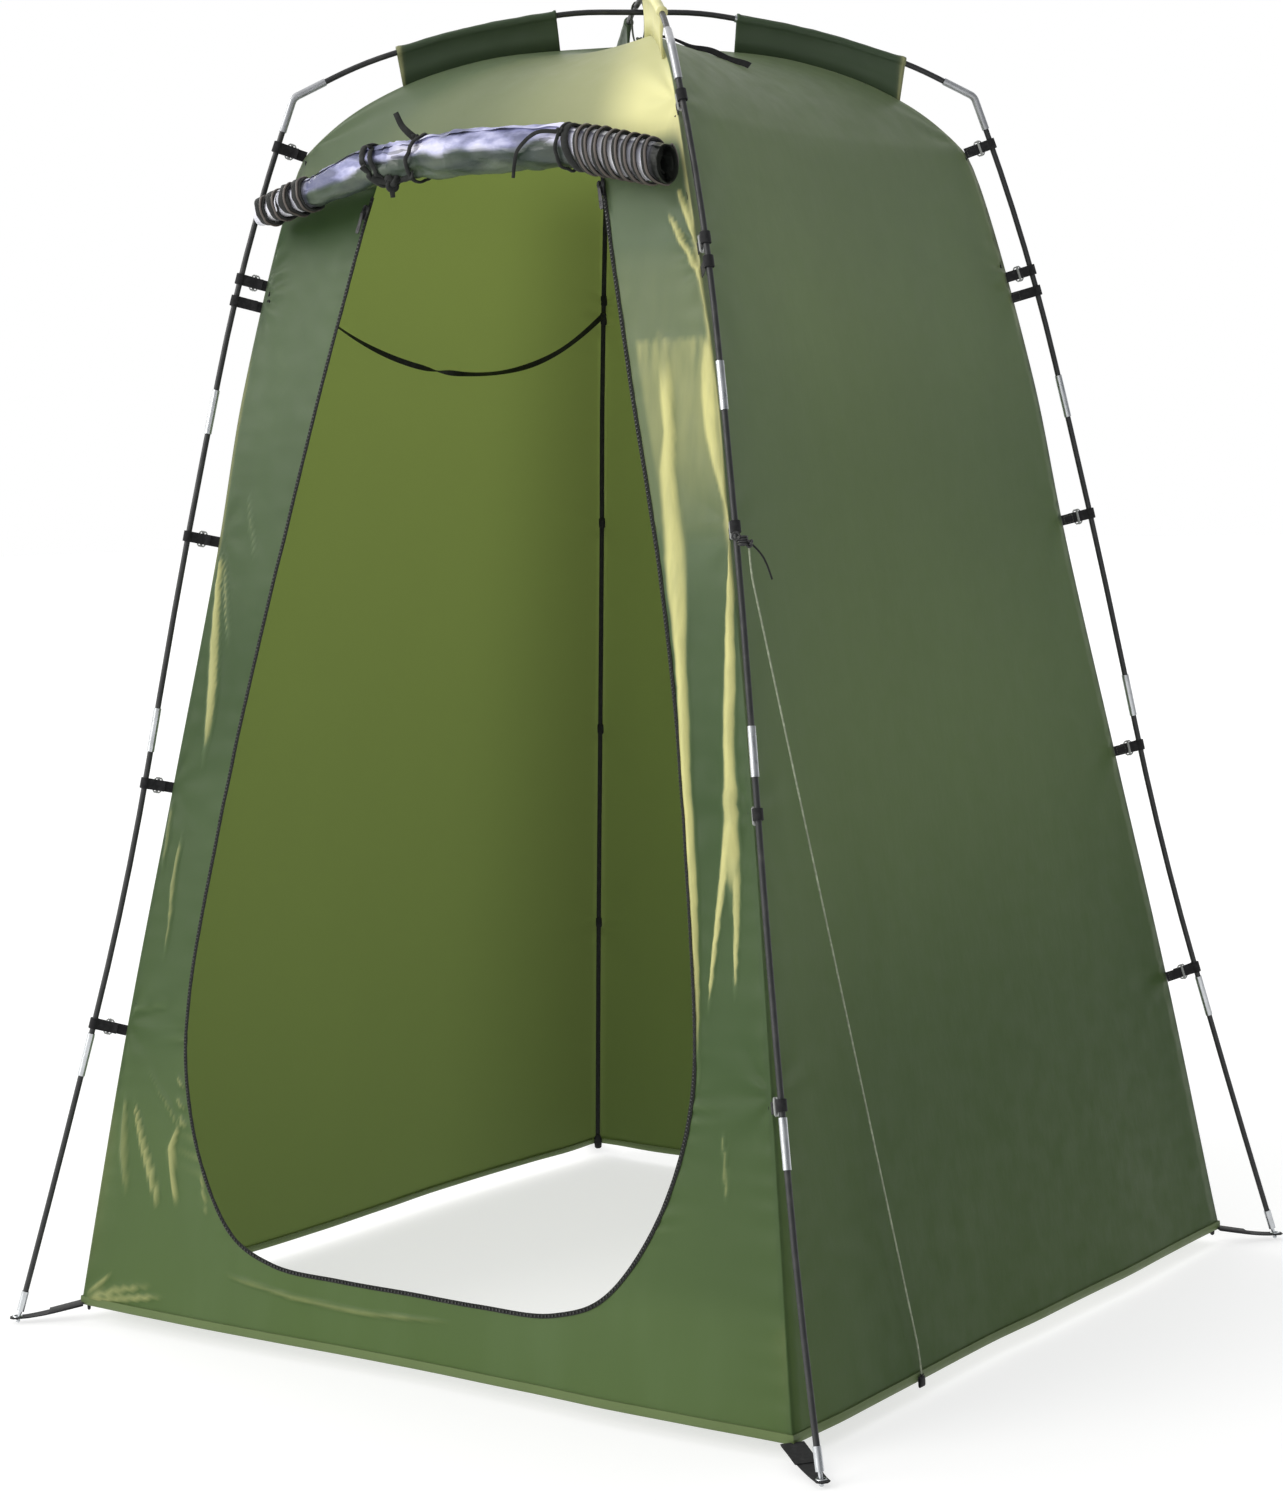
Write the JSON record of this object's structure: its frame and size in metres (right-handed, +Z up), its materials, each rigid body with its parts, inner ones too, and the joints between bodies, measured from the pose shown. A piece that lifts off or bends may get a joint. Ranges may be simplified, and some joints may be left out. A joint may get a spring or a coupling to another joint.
{
  "type": "privacy shower tent",
  "caption": "Tall four-sided green privacy tent on crossed black pole hoops, with strapped corners, an arched zipped doorway, a rolled-up door, an inside line and a side guy line.",
  "frame": {"origin": "on the ground under the crown, where the two pole hoops cross", "axes": "+Z up; the doorway faces -Y; +X is to the right for someone who looks at the doorway from outside"},
  "size_m": [1.3692, 1.3702, 1.8505],
  "materials": {
    "rod_black": "satin",
    "shock_cord": "matte",
    "ferrule_steel": "satin",
    "cloth_green": "satin",
    "sleeve_green": "matte",
    "webbing_black": "matte",
    "buckle_grey": "satin",
    "zip_tape": "matte",
    "zip_metal": "satin",
    "door_lining": "satin",
    "guy_line": "matte",
    "plastic_black": "satin"
  },
  "bodies": {
    "tent": {"back_wall": "cloth_green", "corner_seam_tapes": "webbing_black", "crown_tie": "webbing_black", "door_wall": "cloth_green", "door_zip_track": "zip_tape", "elbows": "ferrule_steel", "foot_straps": "webbing_black", "foot_tips": "ferrule_steel", "guy_cord": "guy_line", "guy_hem_loop": "webbing_black", "guy_knot": "plastic_black", "guy_tail": "guy_line", "hem_binding": "cloth_green", "inside_line": "webbing_black", "left_wall": "cloth_green", "leg_ferrules": "ferrule_steel", "leg_rods_back_left": "rod_black", "leg_rods_back_right": "rod_black", "leg_rods_front_left": "rod_black", "leg_rods_front_right": "rod_black", "line_anchors": "webbing_black", "pole_sleeve_back_left": "sleeve_green", "pole_sleeve_back_right": "sleeve_green", "pole_sleeve_front_left": "sleeve_green", "pole_sleeve_front_right": "sleeve_green", "right_wall": "cloth_green", "rod_straps_back_left": "webbing_black", "rod_straps_back_right": "webbing_black", "rod_straps_front_left": "webbing_black", "rod_straps_front_right": "webbing_black", "roof_ferrules": "ferrule_steel", "roof_rods_lower": "rod_black", "roof_rods_upper": "rod_black", "roof_webbing_tail": "webbing_black", "shock_cord_lower": "shock_cord", "shock_cord_upper": "shock_cord", "strap_buckles_back_left": "buckle_grey", "strap_buckles_back_right": "buckle_grey", "strap_buckles_front_left": "buckle_grey", "strap_buckles_front_right": "buckle_grey"},
    "door": {"door_roll": "door_lining", "roll_ties": "webbing_black", "roll_zip_coils_left": "zip_tape", "roll_zip_coils_right": "zip_tape", "door_head": "cloth_green"},
    "zip_slider_left": {"zip_slider_left": "zip_metal"},
    "zip_slider_right": {"zip_slider_right": "zip_metal"},
    "zip_pull_left": {"zip_pull_left": "zip_metal"},
    "zip_pull_right": {"zip_pull_right": "zip_metal"}
  },
  "joints": [
    {"name": "door_lower", "type": "slide", "parent": "tent", "child": "door", "axis": [0, -0.167, -0.986], "range_m": [0, 1.05], "deforming": ["door_head"]},
    {"name": "zip_left_slide", "type": "slide", "parent": "tent", "child": "zip_slider_left", "axis": [-0.2358, -0.1915, -0.9528], "range_m": [0, 0.2]},
    {"name": "zip_left_pull", "type": "hinge", "parent": "zip_slider_left", "child": "zip_pull_left", "pos_m": [-0.20514, -0.37011, 1.54624], "axis": [-0.9718, 0.0465, 0.2311], "range_deg": [0, 90]},
    {"name": "zip_right_slide", "type": "slide", "parent": "tent", "child": "zip_slider_right", "axis": [0.2369, -0.1666, -0.9572], "range_m": [0, 0.2]},
    {"name": "zip_right_pull", "type": "hinge", "parent": "zip_slider_right", "child": "zip_pull_right", "pos_m": [0.20514, -0.38049, 1.54608], "axis": [-0.9715, -0.0406, -0.2333], "range_deg": [0, 90]}
  ]
}
